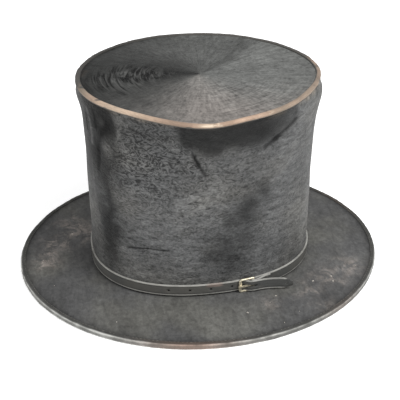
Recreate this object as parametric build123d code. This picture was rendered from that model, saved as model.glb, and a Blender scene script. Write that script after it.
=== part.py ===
"""Bell-crowned top hat: stiffened shells under silk plush, a wired and bound oval brim,
a leather sweatband and lining inside, and a leather band with a buckle round the crown's foot.

+Z is up. The origin is the centre of the brim's outline, on the surface that the brim rests on.
-Y is the wearer's front and +X the wearer's left, where the buckle is. All sizes are millimetres.
"""

from build123d import *
from math import copysign, cos, pi, radians, sin
import os

# Crown: an upright oval tube whose half widths follow base + lean * u + flare * u**6, u = z / crown_height
crown_height = 166.8
base_half_x, base_half_y = 76.5, 95.2
lean_x, lean_y = 8.0, -1.5
flare_x, flare_y = 13.5, 5.1
flare_power = 6
base_roundness, tip_roundness = 2.3, 2.0  # superellipse powers: 2 is an ellipse
crown_stations = (-0.03, 0.2, 0.42, 0.62, 0.78, 0.9, 1.03)  # shares of the height
oval_points = 24

# Layers of the crown wall, as depths in from its outside face
glue = 0.1
plush = 1.0
shell = 1.6
collar = 0.8
lining = 0.4
sweatband = 1.0
shell_depth = plush + glue
inside_depth = shell_depth + shell + glue
sweatband_depth = inside_depth + collar + 0.3

# Brim, from the table up
brim_half_x, brim_half_y = 139.6, 158.2
binding_width, binding_height, binding_wall = 4.0, 5.0, 0.9
binding_round = 1.4
under_cover_z, under_cover = 0.9, 0.4
board = 2.2
top_cover = 0.5
board_z = under_cover_z + under_cover + glue
top_cover_z = board_z + board + glue
brim_top_z = top_cover_z + top_cover
wire_diameter = 1.6

# Top edge of the crown, where the side and tip plush are turned and whipped together
seam_width, seam_height = 2.2, 3.2
seam_proud = 0.5
tip_plush_z = crown_height - seam_proud - plush
tip_board_z = tip_plush_z - glue - shell
seam_z = crown_height - seam_height

# Fittings inside the crown
collar_top_z = 18.0
lining_foot_z = collar_top_z + 2.0
sweatband_height = 47.0
piping = 1.9
piping_z = 1.0
sweatband_z = piping_z + piping + glue
thread = 0.5
thread_count, thread_length = 96, 2.6

# Leather band and its buckle. s runs along the band towards the back, n outwards from the crown's foot
band_width, band_thick = 9.5, 1.2
band_z, band_gap = 6.15, 0.25
buckle_turn = 12.0  # degrees round the crown from the left side towards the back
heel_s, heel_radius = 5.85, 0.8
frame_n = 3.1  # middle of the frame's thickness
front_s = -6.7  # front end of the frame
buckle_height, buckle_thick = 12.8, 1.7
front_bar = 2.3
buckle_bar, buckle_round = 1.5, 2.4
pivot_play = 0.07
tail_path = ((37.1, 12.9), (26.3, 8.9), (14, 6.2), (8, 5.97), (4.5, 5.87), (2.2, 5.3), (-0.1, 3.85),
             (-2.6, 1.95), (-5.6, 1.22), (-7.5, 1.15))
ring_start_s, ring_end_s = -12.0, 14.0
fold_s = (17.5, 22.0)
fold_gap = 0.2
tail_taper, tail_tip = 7.0, 3.8
hole_radius = 1.1
tail_hole_s = 32.2
band_holes = (-11.4, -28.8, -46.2, -63.6)  # distances along the band
slot_s, slot_width = (-3.6, 8.8), 2.0
chape_slot_s, chape_slot_width = (3.2, 8.8), 2.8
prong_width, prong_thick, prong_eye = 1.4, 1.1, 0.6
prong_tip_s = -7.5
stitch = 0.45  # thread thickness
chape_stitch_s, chape_stitch_count = 18.5, 5

# Ribbon bow inside the back of the sweatband
bow_z, bow_width, bow_height, bow_thick = 24.0, 26.0, 11.0, 1.6
bow_gap = 1.9


def oval_station(half_x, half_y, roundness, outward, t):
    """Point and outward normal of a superellipse, moved outward along its own normals."""
    x = half_x * copysign(abs(cos(t)) ** (2 / roundness), cos(t))
    y = half_y * copysign(abs(sin(t)) ** (2 / roundness), sin(t))
    nx = copysign(abs(x / half_x) ** (roundness - 1), x) / half_x
    ny = copysign(abs(y / half_y) ** (roundness - 1), y) / half_y
    normal = Vector(nx, ny).normalized()
    return Vector(x, y) + normal * outward, normal


def oval(half_x, half_y, roundness, outward, z):
    """Closed wire at height z."""
    points = []
    for i in range(oval_points):
        point, _ = oval_station(half_x, half_y, roundness, outward, 2 * pi * i / oval_points)
        points.append(point + Vector(0, 0, z))
    return Wire([Edge.make_spline(points, periodic=True)])


def crown_halves(z):
    """Half widths and roundness of the crown's outside at height z."""
    u = z / crown_height
    half_x = base_half_x + lean_x * u + flare_x * u**flare_power
    half_y = base_half_y + lean_y * u + flare_y * u**flare_power
    return half_x, half_y, base_roundness + (tip_roundness - base_roundness) * u


def crown_solid(depth):
    """The whole crown as a solid block, its outside face moved in by depth."""
    stations = [share * crown_height for share in crown_stations]
    return Solid.make_loft([oval(*crown_halves(z), -depth, z) for z in stations])


def slab(z_low, z_high):
    """A block wider than the hat between two heights."""
    side = 3 * brim_half_y
    return Pos(0, 0, z_low) * Box(side, side, z_high - z_low, align=(Align.CENTER, Align.CENTER, Align.MIN))


def crown_layer(depth, thickness, z_low, z_high):
    """A ring of the crown wall."""
    return (crown_solid(depth) - crown_solid(depth + thickness)) & slab(z_low, z_high)


def crown_disc(depth, z_low, z_high):
    """A flat plate that fills the crown at some height."""
    return crown_solid(depth) & slab(z_low, z_high)


def prism(wire, height):
    return Solid.extrude(Face(wire), Vector(0, 0, height))


def brim_ring(outward, inner_depth, z_low, height):
    """A flat ring from the brim's outline, moved outward, to the crown's foot, moved in by inner_depth."""
    outer = prism(oval(brim_half_x, brim_half_y, 2, outward, z_low), height)
    inner = oval(*crown_halves(z_low + height), -inner_depth, z_low - 1)
    return outer - prism(inner, height + 2)


def make_binding():
    """Ribbon folded round the brim's edge: a channel that opens inwards on the wire and the board."""
    outer = prism(oval(brim_half_x, brim_half_y, 2, 0, 0), binding_height)
    ring = outer - prism(oval(brim_half_x, brim_half_y, 2, -binding_width, -1), binding_height + 2)
    rims = sorted(ring.edges(), key=lambda e: e.length)[-4:]
    outer_rims = sorted(rims, key=lambda e: e.length)[-2:]
    ring = ring.fillet(binding_round, outer_rims)
    slot_z, slot_height = under_cover_z - glue, brim_top_z - under_cover_z + 2 * glue
    slot = prism(oval(brim_half_x, brim_half_y, 2, -binding_wall, slot_z), slot_height)
    core = prism(oval(brim_half_x, brim_half_y, 2, -binding_width - 1, slot_z - 1), slot_height + 2)
    return ring - (slot - core)


def make_wire():
    inset = binding_wall + glue + wire_diameter / 2
    middle = (under_cover_z + brim_top_z) / 2
    path = Edge.make_ellipse(brim_half_x - inset, brim_half_y - inset).moved(Location((0, 0, middle)))
    section = Plane(origin=path @ 0, z_dir=path % 0) * Circle(wire_diameter / 2)
    return sweep(section, path=path)


def make_edge_seam():
    """The turned edges of the plush, an L that wraps the tip board's rim."""
    block = crown_layer(0, seam_width, seam_z, crown_height)
    return block - crown_disc(shell_depth - glue, seam_z - 1, tip_plush_z)


def make_piping():
    depth = inside_depth + collar + glue + piping / 2
    path = oval(*crown_halves(piping_z), -depth, piping_z + piping / 2)
    edge = path.edges()[0]
    section = Plane(origin=edge @ 0, z_dir=edge % 0) * Circle(piping / 2)
    return sweep(section, path=edge)


foot, outwards = oval_station(*crown_halves(0), 0, radians(buckle_turn))
along = Vector(-outwards.Y, outwards.X)


def here(s, n):
    """Plan point at the buckle."""
    return foot + along * s + outwards * n


def at_buckle(shape):
    """Moves a shape drawn with X along the band, Y outwards and Z down to its place at the band's middle."""
    middle = band_z + band_width / 2
    return Plane(origin=foot + Vector(0, 0, middle), x_dir=along, z_dir=(0, 0, -1)).location * shape


def band_station(t):
    """Middle of the band's thickness, and outward normal, at angle t round the crown."""
    half_x, half_y, roundness = crown_halves(band_z + band_width)
    return oval_station(half_x, half_y, roundness, band_gap + band_thick / 2, t)


def band_angle(distance):
    """Angle of the point this far along the band from the buckle's middle."""
    step = copysign(radians(0.1), distance)
    t = radians(buckle_turn)
    point, _ = band_station(t)
    travelled = 0
    while travelled < abs(distance):
        t += step
        following, _ = band_station(t)
        travelled += (following - point).length
        point = following
    return t


def band_pieces():
    """Centre line of the leather strip in plan: tail, turn round the crown, neck, loop on the bar, fold."""
    t_start, t_end = band_angle(ring_start_s), band_angle(ring_end_s) - 2 * pi
    count = 90
    stations = [band_station(t_start + (t_end - t_start) * i / count) for i in range(count + 1)]
    ring_points = [point for point, _ in stations]
    leave, arrive = [Vector(-n.Y, n.X) * -1 for _, n in (stations[0], stations[-1])]
    tail = [here(s, n) for s, n in tail_path]
    tail_edge = Edge.make_spline(tail + [ring_points[0]], tangents=[tail[1] - tail[0], leave])
    ring_edge = Edge.make_spline(ring_points, tangents=[leave, arrive])
    loop = heel_radius + pivot_play + band_thick / 2
    under, over = here(heel_s, frame_n - loop), here(heel_s, frame_n + loop)
    tip = here(heel_s - loop, frame_n)
    neck_edge = Edge.make_spline([ring_points[-1], under], tangents=[arrive, along * -1])
    loop_edge = Edge.make_three_point_arc(under, tip, over)
    fold = [over]
    for distance in fold_s:
        point, normal = band_station(band_angle(distance))
        fold.append(point + normal * (band_thick + fold_gap))
    fold_edge = Edge.make_spline(fold, tangents=[along, Vector(-normal.Y, normal.X)])
    return tail_edge, ring_edge, neck_edge, loop_edge, fold_edge


def side_line(edge, offset):
    """The edge moved sideways, to its left where offset is positive."""
    count = max(8, round(edge.length / 5))
    points, ways = [], []
    for i in range(count + 1):
        way = edge % (i / count)
        points.append(edge @ (i / count) + Vector(-way.Y, way.X) * offset)
        ways.append(way)
    return Edge.make_spline(points, tangents=[ways[0], ways[-1]])


def through_hole(s_low, s_high, width, n_low, n_high):
    """A round-ended hole through the leather at the buckle, its long way along the band."""
    if s_high - s_low > width:
        outline = SlotOverall(s_high - s_low, width)
    else:
        outline = Circle(width / 2)
    solid = extrude(outline, n_high - n_low)
    return at_buckle(Pos((s_low + s_high) / 2, n_low, 0) * Rot(-90, 0, 0) * solid)


def make_hatband():
    """One strip of leather: pointed tail, once round the crown, its end folded back round the heel bar."""
    pieces = band_pieces()
    left = [side_line(edge, band_thick / 2) for edge in pieces]
    right = [side_line(edge, -band_thick / 2) for edge in pieces]
    caps = [Edge.make_line(right[0] @ 0, left[0] @ 0), Edge.make_line(left[-1] @ 1, right[-1] @ 1)]
    outline = Wire(left + right + caps)
    strip = prism(outline.moved(Location((0, 0, band_z))), band_width)
    end_s, end_n = tail_path[0]
    near, far = end_s - tail_taper, end_s + 3
    spread = (band_width - tail_tip) / 2
    for side in (-1, 1):
        low, high = side * band_width / 2, side * (band_width / 2 - spread)
        corner = Polyline((near, low), (end_s, high), (far, high), (far, side * 9), (near, side * 9),
                          close=True)
        block = extrude(make_face(corner), 30)
        strip -= at_buckle(Rot(-90, 0, 0) * block)
    strip -= through_hole(*slot_s, slot_width, 0.9, 9)
    strip -= through_hole(*chape_slot_s, chape_slot_width, 0.9, 5.2)
    strip -= through_hole(tail_hole_s, tail_hole_s, 2 * hole_radius, 6, 25)
    for distance in band_holes:
        point, normal = band_station(band_angle(distance))
        axis = Plane(origin=point + Vector(0, 0, band_z + band_width / 2) - normal * 2, z_dir=normal)
        strip -= axis * Cylinder(hole_radius, 4, align=(Align.CENTER, Align.CENTER, Align.MIN))
    return strip


def make_buckle_frame():
    """Rounded three-sided frame whose fourth side is the round heel bar."""
    outline = RectangleRounded(heel_s - front_s, buckle_height, buckle_round)
    square = Pos(heel_s - buckle_round / 2, 0) * Rectangle(buckle_round, buckle_height)
    knuckle_y = (buckle_height - buckle_bar) / 2
    knuckle = Rot(90, 0, 0) * Cylinder(buckle_thick / 2, buckle_bar)
    inner_low, inner_high = front_s + front_bar, heel_s + 3
    window = Rectangle(inner_high - inner_low, buckle_height - 2 * buckle_bar)
    face = Pos((front_s + heel_s) / 2, 0) * outline + square - Pos((inner_low + inner_high) / 2, 0) * window
    frame = extrude(face, buckle_thick)
    for side in (-1, 1):
        frame += Pos(heel_s, side * knuckle_y, buckle_thick / 2) * knuckle
    frame = frame.fillet(0.45, [e for e in frame.edges() if e.center().Z > buckle_thick - 0.01])
    heel_bar = Rot(90, 0, 0) * Cylinder(heel_radius, buckle_height - buckle_bar)
    frame += Pos(heel_s, 0, buckle_thick / 2) * heel_bar
    return at_buckle(Pos(0, frame_n - buckle_thick / 2, 0) * Rot(-90, 0, 0) * frame)


def make_prong():
    """Tongue that turns on the heel bar and rests on the front bar."""
    eye = Circle(heel_radius + pivot_play + prong_eye)
    rest = frame_n + buckle_thick / 2 + 0.1
    bar_s = front_s + front_bar
    top = frame_n + heel_radius + pivot_play + prong_eye
    body = make_face(Polyline((heel_s, top - prong_thick), (bar_s, rest), (prong_tip_s, rest),
                              (prong_tip_s, rest + 0.5), (bar_s, rest + prong_thick), (heel_s, top),
                              close=True))
    bore = Circle(heel_radius + pivot_play)
    tongue = extrude(body - Pos(heel_s, frame_n) * bore, prong_width / 2, both=True)
    ring = extrude(Pos(heel_s, frame_n) * (eye - bore), (prong_width + 0.8) / 2, both=True)
    return at_buckle(tongue + ring)


def make_chape_stitches():
    """A column of stitches through the band and its folded end."""
    point, normal = band_station(band_angle(chape_stitch_s))
    middle = point + normal * (1.5 * band_thick + fold_gap + stitch / 2 + 0.02)
    pitch = band_width / (chape_stitch_count + 1)
    stitches = []
    for i in range(chape_stitch_count):
        z = band_z + pitch * (i + 1)
        stitches.append(Pos(*(middle + Vector(0, 0, z))) * Cylinder(stitch / 2, 1.1))
    return Compound(children=stitches)


def make_sweatband_stitches():
    """Running stitches along the foot of the sweatband, on its inner face."""
    depth = sweatband_depth + sweatband + thread / 2 + 0.05
    z = sweatband_z + 2
    half_x, half_y, roundness = crown_halves(z)
    stitches = []
    for i in range(thread_count):
        point, normal = oval_station(half_x, half_y, roundness, -depth, 2 * pi * i / thread_count)
        place = Plane(origin=point + Vector(0, 0, z), z_dir=(-normal.Y, normal.X, 0))
        stitches.append(place * Cylinder(thread / 2, thread_length))
    return Compound(children=stitches)


def make_bow():
    """Flat ribbon bow: a knot and two loops, against the back of the sweatband."""
    half = bow_width / 2
    bow = Rectangle(bow_height * 0.36, bow_height * 0.42)
    for side in (-1, 1):
        loop = Polyline((side, -1.4), (side * half, -bow_height / 2), (side * (half - 1.5), 0),
                        (side * half, bow_height / 2), (side, 1.4), close=True)
        bow += make_face(loop)
    y = base_half_y - sweatband_depth - sweatband - bow_gap
    ribbon = extrude(bow, bow_thick)
    return Pos(0, y, bow_z) * Rot(90, 0, 0) * ribbon


def make_parts():
    inside = inside_depth
    tip_lining_z = tip_board_z - glue - lining
    return {
        "crown_side_shell": crown_layer(shell_depth, shell, board_z + board + glue, tip_board_z - glue),
        "tip_board": crown_disc(shell_depth, tip_board_z, tip_board_z + shell),
        "side_plush": crown_layer(0, plush, brim_top_z + glue, seam_z - glue),
        "tip_plush": crown_disc(seam_width + glue, tip_plush_z, tip_plush_z + plush),
        "crown_edge_seam": make_edge_seam(),
        "brim_board": brim_ring(-binding_wall - 1.9, inside - glue, board_z, board),
        "brim_top_cover": brim_ring(-binding_wall - glue, shell_depth - glue, top_cover_z, top_cover),
        "brim_under_cover": brim_ring(-binding_wall - glue, inside - glue, under_cover_z, under_cover),
        "brim_edge_wire": make_wire(),
        "brim_binding": make_binding(),
        "brim_collar": crown_layer(inside, collar, under_cover_z, collar_top_z),
        "side_lining": crown_layer(inside, lining, lining_foot_z, tip_lining_z - glue),
        "tip_lining": crown_disc(inside, tip_lining_z, tip_lining_z + lining),
        "sweatband": crown_layer(sweatband_depth, sweatband, sweatband_z, sweatband_z + sweatband_height),
        "sweatband_piping": make_piping(),
        "sweatband_stitches": make_sweatband_stitches(),
        "sweatband_bow": make_bow(),
        "hatband_strap": make_hatband(),
        "chape_stitches": make_chape_stitches(),
        "buckle_frame": make_buckle_frame(),
        "buckle_prong": make_prong(),
    }


os.makedirs("parts", exist_ok=True)
for node, shape in make_parts().items():
    export_step(shape, f"parts/{node}.step")
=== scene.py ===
"""Antique top hat: worn silk plush on a stiff bell crown, ribbon-bound brim, leather band and buckle.

Sizes are millimetres until they reach a mesh. +Z is up, -Y the wearer's front, +X the wearer's left.
"""

import math

import bmesh
import bpy
import numpy as np
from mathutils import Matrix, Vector


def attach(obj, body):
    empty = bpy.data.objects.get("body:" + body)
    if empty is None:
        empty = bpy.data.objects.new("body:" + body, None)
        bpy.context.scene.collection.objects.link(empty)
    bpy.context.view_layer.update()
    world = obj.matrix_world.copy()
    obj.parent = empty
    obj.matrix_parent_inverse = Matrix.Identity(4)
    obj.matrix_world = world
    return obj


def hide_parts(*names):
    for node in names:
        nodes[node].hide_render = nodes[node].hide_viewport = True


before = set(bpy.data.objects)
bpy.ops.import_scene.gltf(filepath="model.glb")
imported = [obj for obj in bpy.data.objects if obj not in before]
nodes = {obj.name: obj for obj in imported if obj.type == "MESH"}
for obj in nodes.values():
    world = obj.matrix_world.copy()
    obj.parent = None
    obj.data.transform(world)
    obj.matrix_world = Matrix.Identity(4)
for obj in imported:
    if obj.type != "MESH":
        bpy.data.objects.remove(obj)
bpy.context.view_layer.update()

MM = 0.001
TAU = 2 * math.pi

# The hat's own measures, as in the CAD
crown_height = 166.8
base_half_x, base_half_y = 76.5, 95.2
lean_x, lean_y = 8.0, -1.5
flare_x, flare_y, flare_power = 13.5, 5.1, 6
base_roundness, rounder_at_tip = 2.3, 0.3  # superellipse power at the foot, and how far it falls
brim_half_x, brim_half_y = 139.6, 158.2
brim_top, brim_under = 4.2, 0.9
binding_lap = 2.4  # from the brim's edge in to where its cloths end, under the binding
seam_width, seam_foot = 2.2, 163.6
tip_z = 166.3
band_z = 10.9
sweatband_depth, sweatband_foot, sweatband_top = 3.9, 3.0, 50.0
inside_depth, lining_foot = 2.8, 20.0
tip_lining_z = 163.1

# Used only here
crown_radius = 88  # a middling one, which turns angles into lengths along the wall
disc_centre = 0.004  # share of the rim's radius at which a disc's innermost ring lies


# ---------------------------------------------------------------- shapes


def superellipse(half_x, half_y, power, outward, t):
    """Points at angle t, moved outward along the curve's own normals."""
    c, s = np.cos(t), np.sin(t)
    x = half_x * np.sign(c) * np.abs(c) ** (2 / power)
    y = half_y * np.sign(s) * np.abs(s) ** (2 / power)
    nx = np.sign(x) * np.abs(x / half_x) ** (power - 1) / half_x
    ny = np.sign(y) * np.abs(y / half_y) ** (power - 1) / half_y
    length = np.hypot(nx, ny)
    return x + outward * nx / length, y + outward * ny / length


def crown(t, z, outward):
    """Points of the crown's outside face at angle t and height z, moved outward."""
    u = z / crown_height
    half_x = base_half_x + lean_x * u + flare_x * u**flare_power
    half_y = base_half_y + lean_y * u + flare_y * u**flare_power
    x, y = superellipse(half_x, half_y, base_roundness - rounder_at_tip * u, outward, t)
    return np.stack(np.broadcast_arrays(x, y, z), axis=-1)


def brim(t, outward, z):
    """Points of the brim's outline at angle t and height z, moved outward."""
    x, y = superellipse(brim_half_x, brim_half_y, 2.0, outward, t)
    return np.stack(np.broadcast_arrays(x, y, z), axis=-1)


def field(points, wavelength, seed, count=28):
    """Smooth random field, about -1 to 1, with bumps of this size; wavelength may differ along x, y and z."""
    g = np.random.default_rng(seed)
    k = g.normal(size=(count, 3))
    k /= np.linalg.norm(k, axis=1)[:, None]
    k *= TAU * g.uniform(0.7, 1.5, (count, 1)) / np.asarray(wavelength, float)
    phase = g.uniform(0, TAU, count)
    return np.sin(points @ k.T + phase).sum(axis=-1) / math.sqrt(count)


def bump(x, centre, width):
    """1 at the centre, falling off as a bell."""
    return np.exp(-(((x - centre) / width) ** 2))


def plateau(x, centre, width):
    """1 across most of the width, falling off quickly at both ends."""
    return np.exp(-(((x - centre) / width) ** 4))


def ramp(x, zero, one):
    """0 up to one value and 1 from the other on, straight between."""
    return np.clip((x - zero) / (one - zero), 0, 1)


def around(cols, start=0.0):
    """Angles for the columns of a grid that goes round the hat, in radians."""
    return math.radians(start) + np.linspace(0, TAU, cols, endpoint=False)[None, :]


def wrapped(degrees):
    """The same angle between -180 and 180."""
    return np.mod(degrees + 180, 360) - 180


def stroke(s, z, start, end, width):
    """1 on the line from start to end, falling to 0 beyond width."""
    (s0, z0), (s1, z1) = start, end
    ds, dz = s1 - s0, z1 - z0
    k = np.clip(((s - s0) * ds + (z - z0) * dz) / (ds * ds + dz * dz), 0, 1)
    distance = np.hypot(s - s0 - k * ds, z - z0 - k * dz)
    return np.exp(-((distance / width) ** 2))


def lengths(points):
    """Running length along a row of points, with the closing step if it wraps."""
    steps = np.linalg.norm(np.diff(np.vstack([points, points[:1]]), axis=0), axis=1)
    return np.concatenate([[0], np.cumsum(steps)])


def piece(name, mesh, material, body="hat", replaced=()):
    obj = bpy.data.objects.new(name, mesh)
    bpy.context.scene.collection.objects.link(obj)
    mesh.materials.append(material)
    for polygon in mesh.polygons:
        polygon.use_smooth = True
    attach(obj, body)
    if replaced:
        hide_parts(*replaced)
    return obj


def grid(name, points, material, wrap=True, tube=False, replaced=(), body="hat", values=None):
    """A quad mesh from rows of points, in millimetres. Its UV map holds the real lengths, in metres."""
    rows, cols = points.shape[:2]
    r = np.arange(rows if tube else rows - 1)
    c = np.arange(cols if wrap else cols - 1)
    r, c = [a.ravel() for a in np.meshgrid(r, c, indexing="ij")]
    r2, c2 = (r + 1) % rows, (c + 1) % cols
    faces = np.stack([r * cols + c, r * cols + c2, r2 * cols + c2, r2 * cols + c], axis=1)
    mesh = bpy.data.meshes.new(name)
    mesh.from_pydata((points.reshape(-1, 3) * MM).tolist(), [], faces.tolist())
    u, v = lengths(points[rows // 2]) * MM, lengths(points[:, 0]) * MM
    uv = np.stack([np.stack([u[c], u[c + 1], u[c + 1], u[c]], axis=1),
                   np.stack([v[r], v[r], v[r + 1], v[r + 1]], axis=1)], axis=-1)
    layer = mesh.uv_layers.new(name="lengths")
    layer.data.foreach_set("uv", uv.ravel())
    for key, value in (values or {}).items():
        attribute = mesh.attributes.new(key, "FLOAT", "POINT")
        attribute.data.foreach_set("value", np.broadcast_to(value, (rows, cols)).ravel().astype(np.float32))
    obj = piece(name, mesh, material, body, replaced)
    work = bmesh.new()
    work.from_mesh(mesh)
    bmesh.ops.recalc_face_normals(work, faces=work.faces)
    work.to_mesh(mesh)
    work.free()
    return obj


def threads(name, paths, radius, material, replaced=(), body="hat"):
    """Short or long strands, each a smooth tube along its own points."""
    curve = bpy.data.curves.new(name, "CURVE")
    curve.dimensions = "3D"
    curve.bevel_depth = radius * MM
    curve.bevel_resolution = 2
    curve.use_fill_caps = True
    for path in paths:
        spline = curve.splines.new("NURBS")
        spline.points.add(len(path) - 1)
        for point, place in zip(spline.points, path):
            point.co = (*[value * MM for value in place], 1)
        spline.use_endpoint_u = True
        spline.order_u = 3
    holder = bpy.data.objects.new(name, curve)
    bpy.context.scene.collection.objects.link(holder)
    bpy.context.view_layer.update()
    evaluated = holder.evaluated_get(bpy.context.evaluated_depsgraph_get())
    mesh = bpy.data.meshes.new_from_object(evaluated)
    bpy.data.objects.remove(holder)
    mesh.materials.clear()
    return piece(name, mesh, material, body, replaced)


# ---------------------------------------------------------------- materials


class Shader:
    """A material under construction. Each call adds a node and returns its output."""

    def __init__(self, name, **constants):
        self.material = bpy.data.materials.new(name)
        self.material.use_nodes = True
        self.tree = self.material.node_tree
        self.surface = self.tree.nodes["Principled BSDF"]
        for key, value in constants.items():
            self.surface.inputs[key.replace("_", " ")].default_value = value

    def add(self, kind, feeds, output=0, **settings):
        node = self.tree.nodes.new("ShaderNode" + kind)
        for key, value in settings.items():
            setattr(node, key, value)
        for key, value in feeds.items():
            if isinstance(value, bpy.types.NodeSocket):
                self.tree.links.new(value, node.inputs[key])
            else:
                node.inputs[key].default_value = value
        return node.outputs[output]

    def coordinate(self, scale, uv=False):
        where = self.add("TexCoord", {}, output="UV" if uv else "Object")
        return self.add("Mapping", {"Vector": where, "Scale": scale})

    def noise(self, scale, detail=4.0, rough=0.6, twist=0.0, uv=False):
        where = self.coordinate(scale, uv)
        feeds = {"Vector": where, "Scale": 1.0, "Detail": detail, "Roughness": rough, "Distortion": twist}
        return self.add("TexNoise", feeds)

    def cells(self, scale, uv=False, feature="F1"):
        return self.add("TexVoronoi", {"Vector": self.coordinate(scale, uv), "Scale": 1.0}, feature=feature)

    def wave(self, scale, direction="X", uv=True, twist=0.0):
        feeds = {"Vector": self.coordinate(scale, uv), "Scale": 1.0, "Distortion": twist, "Detail": 1.0}
        return self.add("TexWave", feeds, output=1, bands_direction=direction)

    def value(self, name):
        return self.add("Attribute", {}, output="Fac", attribute_name=name)

    def range(self, value, low, high, to_low=0.0, to_high=1.0, smooth=True):
        kind = "SMOOTHSTEP" if smooth else "LINEAR"
        feeds = {"Value": value, "From Min": low, "From Max": high, "To Min": to_low, "To Max": to_high}
        return self.add("MapRange", feeds, interpolation_type=kind)

    def math(self, operation, a, b=0.0):
        return self.add("Math", {0: a, 1: b}, operation=operation)

    def times(self, a, b):
        return self.math("MULTIPLY", a, b)

    def plus(self, a, b):
        return self.math("ADD", a, b)

    def weighted(self, *layers):
        """Sum of layers of (value, weight)."""
        total = None
        for value, weight in layers:
            part = self.times(value, weight)
            total = part if total is None else self.plus(total, part)
        return total

    def axis(self, name):
        """The point's own X, Y or Z, in metres."""
        return self.add("SeparateXYZ", {"Vector": self.add("TexCoord", {}, output="Object")}, output=name)

    def mix(self, factor, a, b):
        return self.add("Mix", {0: factor, 6: a, 7: b}, output=2, data_type="RGBA")

    def scale_colour(self, colour, factor):
        feeds = {0: 1.0, 6: colour, 7: factor}
        return self.add("Mix", feeds, output=2, data_type="RGBA", blend_type="MULTIPLY")

    def colour(self, colour):
        self.tree.links.new(colour, self.surface.inputs["Base Color"])

    def roughness(self, value):
        self.tree.links.new(value, self.surface.inputs["Roughness"])

    def height(self, *layers):
        """Bump from layers of (height, distance in millimetres), each laid on the one before."""
        normal = None
        for height, distance in layers:
            feeds = {"Height": height, "Strength": 1.0, "Distance": distance * MM}
            if normal is not None:
                feeds["Normal"] = normal
            normal = self.add("Bump", feeds)
        self.tree.links.new(normal, self.surface.inputs["Normal"])


# Base colours, linear RGB
side_grey, side_warm = (0.076, 0.077, 0.077, 1), (0.082, 0.081, 0.077, 1)
tip_grey, tip_warm = (0.100, 0.102, 0.098, 1), (0.122, 0.112, 0.104, 1)
side_worn, tip_worn = (0.155, 0.135, 0.112, 1), (0.25, 0.21, 0.17, 1)
brim_grey, brim_olive = (0.070, 0.070, 0.070, 1), (0.078, 0.077, 0.071, 1)
brim_brown = (0.205, 0.182, 0.165, 1)
edge_tan, edge_brown = (0.372, 0.264, 0.196, 1), (0.220, 0.156, 0.116, 1)
edge_pale, edge_highlight = (0.42, 0.34, 0.26, 1), (0.72, 0.62, 0.48, 1)
edge_far, edge_darkened = (0.190, 0.150, 0.115, 1), (0.060, 0.057, 0.052, 1)
ribbon_black, ribbon_brown = (0.085, 0.085, 0.079, 1), (0.145, 0.110, 0.090, 1)
ribbon_pale, ribbon_tan = (0.400, 0.400, 0.380, 1), (0.30, 0.215, 0.175, 1)
strap_black, strap_olive = (0.056, 0.057, 0.055, 1), (0.070, 0.068, 0.062, 1)
strap_scuff, strap_edge = (0.15, 0.14, 0.12, 1), (0.30, 0.295, 0.275, 1)
strap_groove, strap_stain = (0.018, 0.017, 0.015, 1), (0.230, 0.165, 0.140, 1)

# The strap's edges and groove lie this far from its middle, and its stain this far along the hat, in mm
strap_edges = (3.75, 4.15)
groove_inner, groove_outer = (2.9, 3.1), (3.2, 3.4)
stain_y, stain_core, stain_reach = -2.0, 4, 9
stain_foot, stain_full = 1.3, 2.7  # up from the strap's middle


def side_plush_material():
    m = Shader("side_plush", Sheen_Weight=0.02, Sheen_Roughness=0.5, Specular_IOR_Level=0.06)
    streaks = m.noise((95, 95, 300), 6.0, 0.70, 0.5)
    tufts = m.noise((230, 230, 430), 4.0, 0.65, 1.0)
    clouds = m.noise((17, 17, 26), 3.0, 0.55)
    curls = m.noise((125, 125, 185), 3.0, 0.55, 3.2)
    grit = m.noise((480, 480, 760), 2.0, 0.6)
    curly = m.times(m.math("SUBTRACT", curls, 0.5), m.value("curl"))
    nap = m.plus(m.weighted((streaks, 0.45), (tufts, 0.30), (grit, 0.25)), m.times(curly, 0.9))
    rough = m.range(nap, 0.36, 0.64, 0.36, 1.68, smooth=False)
    tone = m.add("Mix", {0: m.times(m.value("calm"), 0.7), 2: rough, 3: 1.0}, data_type="FLOAT")
    tone = m.times(tone, m.range(clouds, 0.25, 0.75, 0.82, 1.18, smooth=False))
    tone = m.times(tone, m.value("tone"))
    base = m.mix(m.range(clouds, 0.35, 0.7), side_grey, side_warm)
    base = m.mix(m.value("wear"), base, side_worn)
    m.colour(m.scale_colour(base, tone))
    m.roughness(m.range(nap, 0.3, 0.7, 0.50, 0.72))
    m.height((streaks, 0.6), (tufts, 0.4), (curly, 1.4))
    return m.material


def tip_plush_material():
    m = Shader("tip_plush", Sheen_Weight=0.02, Sheen_Roughness=0.45, Specular_IOR_Level=0.06)
    strands = m.noise((420, 60, 1), 4.0, 0.65, 0.2, uv=True)
    fine = m.noise((900, 480, 1), 2.0, 0.6, uv=True)
    tufts = m.noise((260, 260, 260), 3.0, 0.6, 0.8)
    clouds = m.noise((26, 26, 26), 3.0, 0.55)
    crushed = m.noise((60, 330, 1), 3.0, 0.6, 0.8, uv=True)
    nap = m.weighted((strands, 0.45), (fine, 0.2), (tufts, 0.35))
    crush = m.times(m.math("SUBTRACT", crushed, 0.5), m.value("crush"))
    tone = m.range(nap, 0.36, 0.64, 0.47, 1.54, smooth=False)
    tone = m.plus(tone, m.weighted((crush, 26.0), (m.value("crush"), 0.6)))
    tone = m.math("MAXIMUM", tone, 0.2)
    tone = m.times(tone, m.range(clouds, 0.25, 0.75, 0.88, 1.14, smooth=False))
    tone = m.times(tone, m.value("tone"))
    base = m.mix(m.value("warm"), tip_grey, tip_warm)
    base = m.mix(m.value("wear"), base, tip_worn)
    m.colour(m.scale_colour(base, tone))
    m.roughness(m.range(nap, 0.3, 0.7, 0.50, 0.72))
    m.height((strands, 0.3), (tufts, 0.35), (crush, 1.2))
    return m.material


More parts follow.
